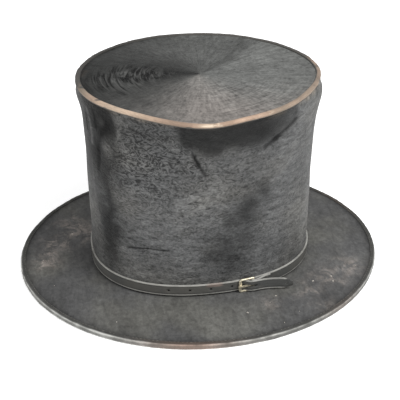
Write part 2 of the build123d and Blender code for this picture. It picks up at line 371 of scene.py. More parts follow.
def brim_cloth_material():
    m = Shader("brim_cloth", Sheen_Weight=0.02, Sheen_Roughness=0.5, Specular_IOR_Level=0.06)
    nap = m.noise((300, 300, 300), 5.0, 0.7, 0.4)
    rubbing_and_painted_sheen = m.noise((85, 85, 85), 6.0, 0.72, 1.0)
    clouds = m.noise((14, 14, 14), 3.0, 0.55)
    streaks = m.noise((60, 190, 60), 5.0, 0.7, 0.8)
    tone = m.range(nap, 0.34, 0.66, 0.76, 1.24, smooth=False)
    tone = m.times(tone, m.range(streaks, 0.3, 0.7, 0.84, 1.16))
    tone = m.times(tone, m.range(clouds, 0.25, 0.75, 0.84, 1.16, smooth=False))
    tone = m.times(tone, m.value("tone"))
    brown = m.times(m.value("wear"), m.range(rubbing_and_painted_sheen, 0.42, 0.58, 0.10, 1.0))
    base = m.mix(m.range(clouds, 0.4, 0.65), brim_grey, brim_olive)
    base = m.mix(brown, base, brim_brown)
    m.colour(m.scale_colour(base, tone))
    m.roughness(m.range(nap, 0.3, 0.7, 0.55, 0.8))
    m.height((nap, 0.25), (rubbing_and_painted_sheen, 0.15))
    return m.material


def worn_edge_material():
    m = Shader("worn_edge", Sheen_Weight=0.05, Specular_IOR_Level=0.15)
    weave = m.noise((1300, 1300, 1), 3.0, 0.6, 0.4, uv=True)
    fibre = m.noise((260, 900, 1), 5.0, 0.7, uv=True)
    patches = m.noise((26, 26, 26), 4.0, 0.6)
    small = m.noise((120, 120, 120), 3.0, 0.6)
    colour = m.mix(m.range(patches, 0.38, 0.62), edge_tan, edge_brown)
    colour = m.mix(m.range(small, 0.58, 0.72), colour, edge_pale)
    colour = m.mix(m.range(m.value("far"), 0.0, 1.0), colour, edge_far)
    # Painted highlight, in a pale colour
    colour = m.mix(m.value("painted_highlight"), colour, edge_highlight)
    # Darker in patches, on the lower face and along the inner lip, and painted shade on the far side
    colour = m.mix(m.range(m.value("darkening"), 0.0, 1.0), colour, edge_darkened)
    tone = m.range(m.weighted((fibre, 0.7), (weave, 0.3)), 0.25, 0.75, 0.72, 1.22, smooth=False)
    m.colour(m.scale_colour(colour, m.times(tone, m.value("shade"))))
    m.roughness(m.range(fibre, 0.3, 0.7, 0.7, 0.9))
    m.height((weave, 0.10), (fibre, 0.18))
    return m.material


def binding_material():
    m = Shader("binding", Sheen_Weight=0.04, Specular_IOR_Level=0.2)
    ribs = m.wave((320, 1, 1), "X")
    fray = m.noise((70, 420, 1), 5.0, 0.7, uv=True)
    patches = m.noise((13, 13, 13), 4.0, 0.6)
    small = m.noise((90, 90, 90), 4.0, 0.65)
    dark = m.mix(m.value("warm"), ribbon_black, ribbon_brown)
    light = m.mix(m.value("warm"), ribbon_pale, ribbon_tan)
    worn = m.times(m.value("wear"), m.range(small, 0.30, 0.60, 0.25, 1.0))
    worn = m.times(worn, m.range(patches, 0.25, 0.60, 0.45, 1.1))
    tone = m.range(fray, 0.3, 0.7, 0.72, 1.25, smooth=False)
    tone = m.times(tone, m.range(ribs, 0.0, 1.0, 0.8, 1.1))
    m.colour(m.scale_colour(m.mix(worn, dark, light), m.times(tone, m.value("shade"))))
    m.roughness(m.range(fray, 0.3, 0.7, 0.6, 0.85))
    m.height((ribs, 0.10), (fray, 0.10))
    return m.material


def strap_material():
    """Leather with pale rubbed edges, a creased groove inside each, and one stain on its upper edge."""
    m = Shader("strap_leather", Specular_IOR_Level=0.25)
    grain = m.cells((1500, 1500, 1500))
    scuffs = m.noise((90, 90, 240), 5.0, 0.68, 0.6)
    clouds = m.noise((35, 35, 35), 3.0, 0.6)
    height = m.axis("Z")
    middle = m.math("ABSOLUTE", m.math("SUBTRACT", height, band_z * MM))
    edge = m.range(middle, *[place * MM for place in strap_edges])
    groove = m.range(middle, *[place * MM for place in groove_inner])
    groove = m.times(groove, m.range(middle, *[place * MM for place in groove_outer], 1.0, 0.0))
    base = m.mix(m.range(clouds, 0.35, 0.65), strap_black, strap_olive)
    base = m.mix(m.range(scuffs, 0.55, 0.75, 0.0, 0.5), base, strap_scuff)
    base = m.mix(m.times(edge, m.range(scuffs, 0.25, 0.6, 0.45, 1.0)), base, strap_edge)
    base = m.mix(m.times(groove, 0.75), base, strap_groove)
    along = m.math("ABSOLUTE", m.math("SUBTRACT", m.axis("Y"), stain_y * MM))
    stain = m.range(along, stain_core * MM, stain_reach * MM, 0.5, 0.0)
    stain = m.times(stain, m.range(height, (band_z + stain_foot) * MM, (band_z + stain_full) * MM))
    stain = m.times(stain, m.range(m.axis("X"), 0.0, 5 * MM))
    stain = m.times(stain, m.range(scuffs, 0.3, 0.5))
    m.colour(m.mix(stain, base, strap_stain))
    m.roughness(m.range(scuffs, 0.3, 0.7, 0.38, 0.62))
    m.height((m.times(grain, -1.0), 0.05), (scuffs, 0.08), (m.times(groove, -1.0), 0.25))
    return m.material


def brass_material():
    m = Shader("buckle_brass", Metallic=0.75)
    tarnish = m.noise((420, 420, 420), 5.0, 0.65, 0.4)
    pits = m.noise((1500, 1500, 1500), 3.0, 0.6)
    brushed = m.noise((2600, 300, 2600), 3.0, 0.6)
    colour = m.mix(m.range(tarnish, 0.36, 0.64), (0.78, 0.72, 0.56, 1), (0.42, 0.37, 0.27, 1))
    colour = m.mix(m.range(pits, 0.60, 0.72), colour, (0.10, 0.09, 0.07, 1))
    m.colour(colour)
    m.roughness(m.range(tarnish, 0.3, 0.7, 0.30, 0.58))
    m.height((pits, 0.05), (brushed, 0.02))
    return m.material


def satin_material():
    m = Shader("lining_silk", Sheen_Weight=0.3, Specular_IOR_Level=0.5, Anisotropic=0.5)
    weave = m.noise((2200, 2200, 500), 3.0, 0.6)
    stains = m.noise((22, 22, 22), 5.0, 0.62, 0.5)
    colour = m.mix(m.range(stains, 0.35, 0.68), (0.60, 0.53, 0.40, 1), (0.40, 0.31, 0.20, 1))
    m.colour(m.scale_colour(colour, m.range(weave, 0.3, 0.7, 0.86, 1.08)))
    m.roughness(m.range(weave, 0.3, 0.7, 0.34, 0.48))
    m.height((weave, 0.05))
    return m.material


def sweat_leather_material():
    m = Shader("sweat_leather", Specular_IOR_Level=0.5)
    grain = m.cells((900, 900, 900), feature="DISTANCE_TO_EDGE")
    scuffs = m.noise((60, 60, 120), 5.0, 0.65, 0.6)
    stains = m.noise((18, 18, 30), 4.0, 0.6)
    colour = m.mix(m.range(stains, 0.35, 0.68), (0.30, 0.165, 0.085, 1), (0.16, 0.085, 0.045, 1))
    colour = m.mix(m.range(scuffs, 0.56, 0.74, 0.0, 0.7), colour, (0.42, 0.27, 0.15, 1))
    colour = m.mix(m.range(m.axis("Z"), 47 * MM, 50 * MM, 0.0, 0.6), colour, (0.09, 0.05, 0.03, 1))
    m.colour(colour)
    m.roughness(m.range(scuffs, 0.3, 0.7, 0.34, 0.55))
    m.height((m.range(grain, 0.0, 0.25), 0.05), (scuffs, 0.12))
    return m.material


def thread_material(name, light, dark):
    m = Shader(name, Specular_IOR_Level=0.35)
    twist = m.wave((1400, 1400, 1400), "DIAGONAL", uv=False, twist=0.4)
    darkening = m.noise((160, 160, 160), 3.0, 0.6)
    colour = m.mix(m.range(darkening, 0.4, 0.65), light, dark)
    m.colour(m.scale_colour(colour, m.range(twist, 0.0, 1.0, 0.65, 1.1)))
    m.surface.inputs["Roughness"].default_value = 0.6
    m.height((twist, 0.08))
    return m.material


def woven_material(name, light, dark, pitch, sheen):
    """Plain cloth: two sets of threads that cross."""
    m = Shader(name, Sheen_Weight=sheen, Specular_IOR_Level=0.3)
    across, down = m.wave((pitch, 1, 1), "X", False, 0.3), m.wave((1, pitch, pitch), "Y", False, 0.3)
    weave = m.times(across, down)
    clouds = m.noise((20, 20, 20), 4.0, 0.6)
    slub = m.noise((500, 90, 300), 4.0, 0.65)
    tone = m.times(m.range(weave, 0.0, 0.8, 0.7, 1.15), m.range(slub, 0.3, 0.7, 0.82, 1.15))
    m.colour(m.scale_colour(m.mix(m.range(clouds, 0.35, 0.68), light, dark), tone))
    m.roughness(m.range(slub, 0.3, 0.7, 0.65, 0.85))
    m.height((weave, 0.10), (slub, 0.08))
    return m.material


def steel_material():
    m = Shader("steel_wire", Metallic=1.0)
    rust = m.noise((300, 300, 300), 5.0, 0.65)
    drawn = m.noise((90, 90, 2400), 3.0, 0.6)
    m.colour(m.mix(m.range(rust, 0.5, 0.66), (0.42, 0.41, 0.39, 1), (0.22, 0.11, 0.06, 1)))
    m.roughness(m.range(rust, 0.3, 0.7, 0.3, 0.7))
    m.height((drawn, 0.03))
    return m.material


def lint_material():
    m = Shader("lint", Sheen_Weight=0.5)
    tuft = m.noise((900, 900, 900), 4.0, 0.6)
    m.colour(m.mix(m.range(tuft, 0.4, 0.6), (0.50, 0.46, 0.41, 1), (0.32, 0.29, 0.25, 1)))
    m.height((tuft, 0.1))
    return m.material


def floor_material():
    m = Shader("floor", Specular_IOR_Level=0.1, Emission_Strength=0.3)
    m.surface.inputs["Emission Color"].default_value = (1, 1, 1, 1)
    paper = m.noise((40, 40, 40), 3.0, 0.6)
    m.colour(m.mix(paper, (0.93, 0.93, 0.93, 1), (0.96, 0.96, 0.96, 1)))
    m.roughness(m.range(paper, 0.3, 0.7, 0.85, 0.95))
    return m.material


goss = woven_material("goss", (0.34, 0.24, 0.14, 1), (0.24, 0.16, 0.09, 1), 900, 0.1)
thread_light = thread_material("thread", (0.55, 0.48, 0.36, 1), (0.34, 0.27, 0.18, 1))
thread_dark = thread_material("thread_dark", (0.16, 0.15, 0.13, 1), (0.08, 0.075, 0.065, 1))
ribbon_inside = woven_material("ribbon_inside", (0.045, 0.043, 0.040, 1), (0.03, 0.028, 0.026, 1), 1300, 0.3)
under_cloth = woven_material("under_cloth", (0.062, 0.060, 0.055, 1), (0.045, 0.043, 0.04, 1), 1100, 0.25)
sweat_leather = sweat_leather_material()
satin = satin_material()
binding_cloth = binding_material()


# ---------------------------------------------------------------- crown


def arc(t):
    """Distance along the wall from +X, about, for an angle in radians."""
    return (np.mod(t + math.pi, TAU) - math.pi) * crown_radius


def at(degrees):
    """The same distance for an angle in degrees."""
    return math.radians(degrees) * crown_radius


def spot(s, z, angle, height, wide, high):
    """1 at an angle and a height, falling off over so many degrees and millimetres."""
    return bump(s, at(angle), at(wide)) * bump(z, height, high)


def strokes(s, z, lines):
    """Sum of lines, each (angle, height, angle, height, width, strength)."""
    total = np.zeros(np.broadcast(s, z).shape)
    for angle, height, last_angle, last_height, width, strength in lines:
        total += strength * stroke(s, z, (at(angle), height), (at(last_angle), last_height), width)
    return total


def disc(rim, rows):
    """Rings from near the centre out to the rim, at the rim's height, and their shares of its radius."""
    share = np.linspace(disc_centre, 1, rows)[:, None]
    return rim * np.stack(np.broadcast_arrays(share, share, 1.0), axis=-1), share


def slump(t):
    """Where the top edge has gone out of true: how far in it lies and how far up, at angle t."""
    stops = (-180, -120, -90, -70, -50, -38, -27, -12, -3, 8, 27, 45, 60, 74, 84, 92, 180)
    inward = (0, 0, 0.6, 1.2, 1.5, 1.5, 1.0, 0.2, 0, 1.0, 1.8, 4.0, 4.6, 2.6, 0.9, 0, 0)
    up = (0, 0, 1.0, 1.8, 2.8, 2.8, 1.6, -0.6, -0.9, 2.0, 2.6, 3.0, 2.2, 1.0, 0.5, 0.3, 0)
    softness = 7.0  # degrees
    fine = np.arange(-180.0, 180.0)
    blur = bump(fine, 0, softness)
    blur = np.fft.fft(np.roll(blur / blur.sum(), len(fine) // 2))
    softened = []
    for row in (inward, up):
        row = np.interp(fine, stops, row, period=360)
        row = np.fft.ifft(np.fft.fft(row) * blur).real
        softened.append(np.interp(wrapped(np.degrees(t)), fine, row, period=360))
    return softened


# Dents (and with a minus sign swellings) of the wall: angle, height, degrees wide, mm high, mm deep
dent_places = (
    (-57, 151, 6, 8, 2.6),
    (-65, 122, 4, 14, 1.2),
    (5, 151, 20, 8, 1.3),
    (27, 143, 6, 6, 1.0),
    (10, 66, 18, 22, 1.0),
    (-35, 108, 12, 14, 0.6),
    (150, 120, 14, 20, 1.2),
    (-140, 60, 18, 16, 1.2),
    (-112, 132, 10, 18, 1.0),
    (82, 151, 14, 10, -3.0),
    (-97, 155, 12, 8, -1.8),
)


def dents(t, z):
    """How far the whole crown wall, plush, goss and lining alike, is pushed outward."""
    s = arc(t)
    flat = crown(t, z, 0.0)
    out = 0.40 * field(flat, 75, 1) + 0.13 * field(flat, 26, 2)
    for *place, deep in dent_places:
        out = out - deep * spot(s, z, *place)
    out = out * ramp(z, 14, 32) * ramp(z, 164, 157)
    return out - slump(t)[0] * ramp(z, 156, 164) ** 2


def risen(t, z):
    """The height of a point of the wall, moved up with the top edge."""
    return z + slump(t)[1] * ramp(z, 130, 164) ** 2


# Lines pressed into the side's plush, painted dark as the shade in them: angle, height, angle, height, width
# in mm, strength
side_marks = (
    (-44, 46.5, -33, 49.5, 0.8, 1.0),
    (-33, 49.5, -22, 49, 0.7, 1.0),
    (-30, 97, -25, 96, 0.8, 0.5),
    (-12, 138, -9.5, 129, 1.7, 1.0),
    (-9.5, 129, -6, 119, 1.3, 0.9),
    (-21, 137, -14, 121, 1.0, 0.5),
    (21, 138, 27, 142, 2.4, 0.85),
    (27, 142, 37, 153, 2.4, 0.85),
    (-60, 141, -65, 125, 2.6, 0.8),
    (-65, 125, -66, 106, 2.6, 0.64),
    (-65, 158, -64.5, 145, 1.6, 0.8),
    (-75, 150, -75, 136, 1.2, 0.8),
    (130, 96, 152, 88, 1.0, 1.0),
    (-130, 66, -112, 70, 0.9, 0.8),
)
# Raised lines in the side's plush, painted lighter as their highlight: angle, height, angle, height, width in
# mm, strength
side_ridges = (
    (-71, 156, -69, 142, 2.0, 1.0),
    (-69, 142, -70.5, 128, 2.0, 1.0),
    (-47.5, 151, -49, 140, 1.6, 0.5),
    (-73, 112, -72, 78, 1.5, 0.4),
)
# The dark zone below the top edge, painted shade under the flared top: its lower border as (angle, height),
# and its fading on the right as (angle, strength)
dark_foot = ((-22, 162), (-20, 155), (-17, 147), (-12, 141), (-9, 138.5), (0, 138.5),
             (7, 140), (15, 141), (25, 142), (31, 147), (37, 153))
dark_end = ((19, 1), (26, 0.8), (31, 0.62), (37, 0.55), (39, 0))
# Darker patches: angle, height, degrees wide, mm high, strength
side_patches = (
    (21, 99, 5, 12, 0.7),
    (13, 82, 6.5, 17, 0.9),
    (6, 76, 5, 9, 0.7),
    (3, 42, 9, 21, 0.7),
    (12, 55, 5, 15, 0.6),
    (150, 118, 12, 18, 0.9),
    (-140, 60, 14, 14, 0.8),
    (110, 60, 9, 30, 0.6),
)


def along_wall(s, pairs):
    """Values given at angles, straight between them, at distance s along the wall."""
    return np.interp(s, [at(angle) for angle, _ in pairs], [value for _, value in pairs])


def side_marking(s, z, edge):
    """The side's marks, ridges, dark pocket, dark zone below the edge, patches and band, each 0 to about 1.
    The marks and the pocket are painted shade in creases and in a dent, the ridges a painted highlight, the
    dark zone painted shade under the flared top, and the band painted shade down the left.
    """
    # pocket: painted shade in the dent at the upper left
    pocket = plateau(s + edge, at(-56), at(7.0)) * plateau(z + edge, 152.5, 10.5)
    marks = np.clip(strokes(s, z, side_marks) + pocket, 0, 1)
    ridges = strokes(s, z, side_ridges)
    ridges = ridges + 0.8 * spot(s, z, -57.5, 131, 3.5, 6) + 0.6 * spot(s, z, -61, 150, 2, 4)
    # under: painted shade below the flared top edge
    foot = along_wall(s, dark_foot) + 1.5 * edge
    ends = ramp(s, at(-23), at(-23) + 8) * along_wall(s, dark_end)
    under = ends / (1 + np.exp((foot - z) / 2.2))
    patch = np.zeros_like(under)
    for *place, strength in side_patches:
        patch = np.maximum(patch, strength * spot(s + 3 * edge, z + 2 * edge, *place))
    # band: painted shade down the left of the wall
    band = bump(s + 3 * edge, at(-58), at(9.5)) * ramp(z, -20, 40)
    return marks, ridges, pocket, under, patch, band


def side_tone(s, z, edge, flat):
    """Light and dark along the side, apart from its marks, dark zone, patches and band. Much of it is painted:
    shade down the left and below the edge, light on the right, and a sheen along both outlines.
    """
    # Painted shade down the upper left, towards the left outline and under the edge; painted light on the
    # right
    tone = 1 - 0.74 * plateau(s + 2 * edge, at(-69), at(10)) * ramp(z, 88, 113)
    tone = tone * (1 - 0.14 * spot(s, z, 50, 130, 14, 26))
    tone = tone * (1 - 0.30 * bump(s, at(-95), at(22)))
    tone = tone * (1 + 0.12 * spot(s, z, -20, 82, 16, 34)) * (1 + 0.10 * bump(s, at(48), at(14)))
    tone = tone * (1 - 0.38 * spot(s, z, -38, 150, 17, 17)) * (1 - 0.25 * ramp(z, 22, 6))
    # A painted sheen along both outlines of the wall, below the flared top
    rubbing_and_painted_sheen = bump(s + 5 * edge, at(82), at(9)) + bump(s + 5 * edge, at(-92), at(9))
    tone = tone * (1 + 0.35 * rubbing_and_painted_sheen * ramp(z, 125, 105))
    behind = 0.35 * bump(s + 4 * edge, at(118), at(10)) + 0.3 * bump(s + 4 * edge, at(-125), at(11))
    tone = tone * (1 - behind)
    tone = tone * (1 + 0.10 * field(flat, 60, 3) + 0.07 * field(flat, (16, 16, 8), 4))
    # Painted shade in a narrow stripe near the left outline, high up
    return tone * (1 - 0.45 * bump(s, at(-82), at(5)) * ramp(z, 95, 115))


def make_side():
    """The side's plush, from the brim up to the whipped edge, with its inner face."""
    t = around(720, 170)
    z = np.linspace(4.1, seam_foot + 0.3, 200)[:, None]
    s = arc(t)
    flat = crown(t, z, 0.0)
    edge = field(flat, 22, 5)
    marks, ridges, pocket, under, patch, band = side_marking(s, z, edge)
    # Painted shade below the edge, down the left and in the creases and pocket; painted highlight on the
    # ridges
    tone = side_tone(s, z, edge, flat) * (1 - 0.78 * under) * (1 - 0.68 * patch) * (1 - 0.74 * band)
    tone = np.clip(tone * (1 - 0.85 * marks) + 0.45 * ridges, 0.06, 2)
    curl = 0.45 + 1.1 * spot(s, z, -31, 132, 23, 34) + 0.5 * spot(s, z, -44, 118, 10, 22)
    curl = curl * (1 - 0.55 * bump(s, at(45), at(25))) + 0.6 * bump(s, 130, 40) * bump(z, 110, 30)
    calm = np.clip(0.75 * under + 0.45 * patch + 0.10 * band + 0.8 * pocket, 0, 1)
    wear = np.clip(bump(z, seam_foot, 1.6) * 0.45 * (1 + field(flat, 18, 6)), 0, 1)
    seam = bump(s, at(172), 0.8)
    tone = tone * (1 - 0.6 * seam)
    outer = crown(t, z, dents(t, z) - 0.55 * marks + 0.5 * ridges - 0.25 * seam)
    outer[..., 2] = risen(t, z)
    inner_z = z[::-5]
    inner = crown(t, inner_z, dents(t, inner_z) - 0.95)
    inner[..., 2] = risen(t, inner_z)
    values = {"tone": tone, "curl": curl, "wear": wear, "calm": calm}
    plain = np.ones(inner.shape[:2])
    for key, value in values.items():
        values[key] = np.concatenate([np.broadcast_to(value, flat.shape[:2]), plain])
    grid("plush_side", np.concatenate([outer, inner]), side_plush_material(), tube=True,
         replaced=["side_plush"], values=values)


def make_goss():
    """The stiff wall and tip under the plush, pushed in wherever the plush is."""
    t = around(360)
    z = np.linspace(3.8, 163.4, 90)[:, None]
    wall = np.concatenate([crown(t, z, dents(t, z) - 1.15), crown(t, z[::-1], dents(t, z[::-1]) - 2.65)])
    wall[..., 2] = risen(t, wall[..., 2])
    grid("goss_side", wall, goss, tube=True, replaced=["crown_side_shell"])
    inward, up = slump(t)
    top, share = disc(crown(t, np.array([[165.1]]), -1.3 - inward), 24)
    top[..., 2] += up * share**5
    low = top[::-1] - np.array([0, 0, 1.5])
    grid("goss_tip", np.concatenate([top, low]), goss, replaced=["tip_board"])


# Light and dark round the tip, where the nap is brushed in a swirl: the sheen and shade of the nap under the
# lamps, painted in: angle, tone
tip_shades = (
    (-180, 0.64), (-160, 0.50), (-140, 0.38), (-118, 0.24), (-95, 0.12), (-78, 0.14), (-62, 0.28),
    (-46, 0.42), (-28, 0.76), (-12, 1.10), (8, 1.18), (38, 1.06), (69, 0.96), (100, 0.90),
    (122, 1.00), (137, 0.84), (143, 0.52), (156, 0.70), (180, 0.64),
)


def make_tip():
    """The tip's plush, brushed in a swirl round its centre."""
    t = around(540)
    inward, up = slump(t)
    rim = crown(t, np.array([[tip_z]]), -seam_width - 0.1 - inward)
    points, share = disc(rim, 120)
    radius = np.hypot(points[..., 0], points[..., 1])
    rim_radius = np.hypot(rim[..., 0], rim[..., 1])
    droop = ramp(radius, rim_radius - 1.4, rim_radius) ** 2
    points[..., 2] = tip_z + 0.15 * field(points, 60, 11) + 0.05 * field(points, 18, 12) - 0.9 * droop
    points[..., 2] += up * share**5
    angle = np.degrees(t) + 22 * (1 - share) ** 1.5 + 2.5 * field(points, 22, 13)
    angle = wrapped(angle)
    # tone: the nap's sheen and shade round the swirl, painted in
    tone = np.interp(angle, *zip(*tip_shades))
    tone = tone * (1 - 0.15 * bump(radius, 0, 5.0)) * (1 + 0.05 * field(points, 30, 14))
    tone = tone * (1 - 0.30 * bump(radius, 94, 3.0) * (np.cos(t - math.radians(-100)) > 0.2))
    spoke = bump(wrapped(angle - 152), 0, 1.8) * ramp(radius, 60, 10)
    tone = tone * (1 - 0.35 * spoke)
    warm = np.clip(bump(angle, 0, 42) * (0.5 + radius / 140), 0, 1)
    crush = bump(angle, -88, 17) * bump(radius, 56, 26) + 0.07 * bump(angle, 30, 40)
    wear = np.clip(0.5 * bump(angle, -103, 2.5) * bump(radius, 92, 2.5), 0, 1)
    values = {"tone": tone, "warm": warm, "crush": crush, "wear": wear}
    under = rim.copy()
    under[..., 2] = tip_z - 1.0 + up
    points = np.concatenate([points, under])
    values = {key: np.concatenate([value, value[-1:]]) for key, value in values.items()}
    grid("plush_tip", points, tip_plush_material(), replaced=["tip_plush"], values=values)


def make_edge_seam():
    """Turned edges of the two plushes, whipped together and worn down to the tan ground."""
    t = around(900)
    profile = ((-0.5, 163.3), (0.12, 163.35), (0.45, 163.8), (0.66, 164.5), (0.72, 165.2), (0.60, 165.9),
               (0.28, 166.55), (-0.3, 167.05), (-1.0, 167.3), (-1.8, 167.35), (-2.6, 167.25), (-3.3, 166.95),
               (-3.6, 166.5), (-3.3, 166.0), (-2.3, 165.6), (-1.2, 165.4), (-0.9, 164.6))
    shown = 13  # the profile's points up to its inner lip; the rest are hidden below the tip
    out, z = np.array(profile).T[..., None]
    flat = crown(t, z, out)
    lumps = 0.10 * field(flat, 9, 21) + 0.16 * field(flat, 30, 22) + 0.05 * field(flat, 3, 23)
    proud = (np.arange(len(profile)) < shown)[:, None]
    inward, up = slump(t)
    points = crown(t, z, out + lumps * proud - inward)
    points[..., 2] += 0.35 * lumps * proud + up
    away = np.clip(-field(flat, 34, 24) - 0.75, 0, 1) + np.clip(-field(flat, 11, 25) - 0.9, 0, 1)
    degrees = wrapped(np.degrees(t))
    behind = np.interp(degrees, (-87, -75, 58, 68, 92, 105), (1, 0, 0, 0.55, 0.55, 1))
    low = ramp(z - 0.5 * lumps, 165.0, 164.3) * (out > -0.4)
    inner_line = bump(out, -3.5, 0.25)
    # Darker in patches, on the lower face and along the inner lip, and painted shade on the far side (behind)
    darkening = np.clip(away * 0.8 + 0.9 * low + inner_line + 0.9 * behind, 0, 1)
    # Painted highlight: a glint along two lines on top of the bead near -7 degrees, and a paler stretch near
    # -48 degrees
    glint = bump(out, 0.2, 0.5) + 0.6 * bump(out, -1.6, 0.5)
    painted_highlight = 0.8 * bump(degrees, -7, 3.2) * glint * (z > 165) + 0.22 * bump(degrees, -48, 16)
    shade = 1 - 0.45 * bump(degrees, -130, 45)
    far = 0.8 * bump(degrees, 50, 27) + 0.45 * bump(degrees, 27, 6) + bump(degrees, -78, 9)
    values = {"darkening": darkening, "painted_highlight": painted_highlight, "shade": shade, "far": np.clip(far, 0, 1)}
    grid("worn_edge", points, worn_edge_material(), tube=True, replaced=["crown_edge_seam"], values=values)


# ---------------------------------------------------------------- brim


# Brown, rubbed places on the brim: x, y, size, strength
brim_worn = (
    (-38, -104, 17, 0.85),
    (-22, -127, 13, 1.0),
    (5, -137, 11, 1.0),
    (-54, -112, 13, 0.8),
    (-8, -134, 9, 0.9),
    (88, 74, 14, 0.45),
    (72, 98, 15, 0.6),
    (60, 118, 14, 0.6),
    (108, 82, 9, 0.6),
    (-105, 60, 20, 0.6),
    (-80, 110, 14, 0.7),
    (-118, -30, 13, 0.6),
    (98, 40, 8, 0.5),
)


def brim_face(z, depth, cols, rows):
    """Points from the crown's wall out to the binding at height z, and their shares of the way."""
    t = around(cols)
    k = np.linspace(0, 1, rows)[:, None]
    level = np.array([[z]])
    inner, outer = crown(t, level, -depth), brim(t, -binding_lap, level)
    return inner * (1 - k[..., None]) + outer * k[..., None], k


def make_brim_top():
    points, k = brim_face(brim_top, 0.9, 720, 56)
    ripple = 0.18 * field(points, 55, 31) + 0.05 * field(points, 16, 32)
    points[..., 2] = brim_top + ripple * np.sin(np.pi * k)
    x, y = points[..., 0], points[..., 1]
    tone = 1 + 0.10 * field(points, 50, 33) + 0.05 * field(points, 14, 34)
    tone = tone * (1 + 0.10 * bump(x, 118, 30) * bump(y, 5, 45))
    tone = tone * (1 + 0.06 * bump(y, 120, 45))
    tone = tone * (1 - 0.10 * bump(x, 60, 45) * bump(y, -118, 32))
    tone = tone * (1 + 0.15 * bump(y, -135, 22) * bump(x, -20, 60))
    # Painted shade in a ring beside the binding and in another beside the crown's wall
    tone = tone * (1 - 0.50 * bump(k, 1, 0.075) - 0.35 * bump(k, 0, 0.05))
    wear = np.zeros_like(tone)
    for centre_x, centre_y, size, strength in brim_worn:
        wear = np.maximum(wear, strength * bump(np.hypot(x - centre_x, y - centre_y), 0, size))
    wear = np.clip(wear * (0.85 + 0.35 * field(points, 12, 35)), 0, 1)
    values = {"tone": tone, "wear": wear}
    grid("brim_cloth_top", points, brim_cloth_material(), replaced=["brim_top_cover"], values=values)


def make_brim_under():
    points, k = brim_face(brim_under, 3.2, 480, 30)
    points[..., 2] = brim_under + 0.05 + 0.12 * field(points, 40, 36) * np.sin(np.pi * k)
    grid("brim_cloth_under", points, under_cloth, replaced=["brim_under_cover"])


def make_binding():
    """Ribbon folded over the edge, its two folds rubbed pale, and the stitches that hold it."""
    t = around(1100)
    profile = ((-4.0, 4.35, 0.1), (-4.05, 4.7, 0.15), (-3.6, 5.0, 0.0), (-2.4, 5.05, 0.0), (-1.4, 5.0, 0.05),
               (-0.85, 4.87, 0.6), (-0.5, 4.65, 1.0), (-0.15, 4.2, 0.8), (0.0, 3.6, 0.25), (0.02, 2.5, 0.12),
               (0.0, 1.6, 0.15), (-0.05, 1.0, 0.6), (-0.40, 0.45, 0.9), (-1.3, 0.03, 0.4), (-3.6, 0.0, 0.2),
               (-4.05, 0.2, 0.3), (-4.0, 0.75, 0.1), (-1.2, 1.2, 0.0), (-1.2, 3.9, 0.0))
    out, z, wear = np.array(profile).T[..., None]
    flat = brim(t, out, z)
    lumps = 0.07 * field(flat, 7, 41) + 0.10 * field(flat, 28, 42)
    points = brim(t, out + lumps * (z > 0.5), z + 0.8 * lumps * (z > 1.0))
    wear = np.clip(wear * (1.0 + 0.6 * field(flat, 16, 43)) + 0.10 * np.clip(field(flat, 8, 44), 0, 1), 0, 1)
    degrees = wrapped(np.degrees(t))
    wear = wear * (1 + 0.45 * bump(degrees, -50, 22))
    warm = bump(degrees, -12, 12) + 0.35 * bump(degrees, 38, 8)
    warm = warm + 0.5 * bump(degrees, -165, 20) + 0.5 * bump(degrees, 110, 12)
    shade = 1 - 0.55 * (z > 4.8) * (out < -0.8)
    values = {"wear": np.clip(wear, 0, 1), "warm": np.clip(warm, 0, 1), "shade": shade}
    grid("brim_ribbon", points, binding_cloth, tube=True, replaced=["brim_binding"], values=values)
    stitch_count = 300
    paths = []
    for i in range(stitch_count):
        angles = (np.array([0.0, 0.25, 0.5]) + i) * TAU / stitch_count
        paths.append(brim(angles, np.full(3, -3.35), np.array([4.9, 5.16, 4.9])))
    threads("brim_stitches", paths, 0.14, thread_dark)


def make_lint():
    """Flecks of lint lying on the brim: a few tufts and many single fibres."""
    g = np.random.default_rng(5)
    spots = [(71, 100), (78, 99.5), (75, 83), (89, 47), (106, 19), (-36, -112),
             (2, -139), (-50, -104), (-96, 72), (-112, -20), (60, 126), (112, 60)]
    tufts = 6  # the first spots; a tuft is three crossed fibres
    strewn = 9
    for _ in range(strewn):
        a, k = g.uniform(0, TAU), g.uniform(0.1, 0.9)
        spots.append((float((80 + 55 * k) * math.cos(a)), float((98 + 55 * k) * math.sin(a))))
    paths = []
    for i, (x, y) in enumerate(spots):
        size = 0.75 if i < tufts else g.uniform(0.25, 0.5)
        a = g.uniform(0, TAU)
        bend = g.uniform(-1, 1)
        for k in range(3 if i < tufts else 1):
            a += 2.0 * k
            dx, dy = math.cos(a) * size, math.sin(a) * size
            middle = (x + dy * bend, y - dx * bend, 4.75)
            paths.append([(x - dx, y - dy, 4.36), middle, (x + dx, y + dy, 4.36)])
    threads("lint", paths, 0.20, lint_material())


# ---------------------------------------------------------------- inside


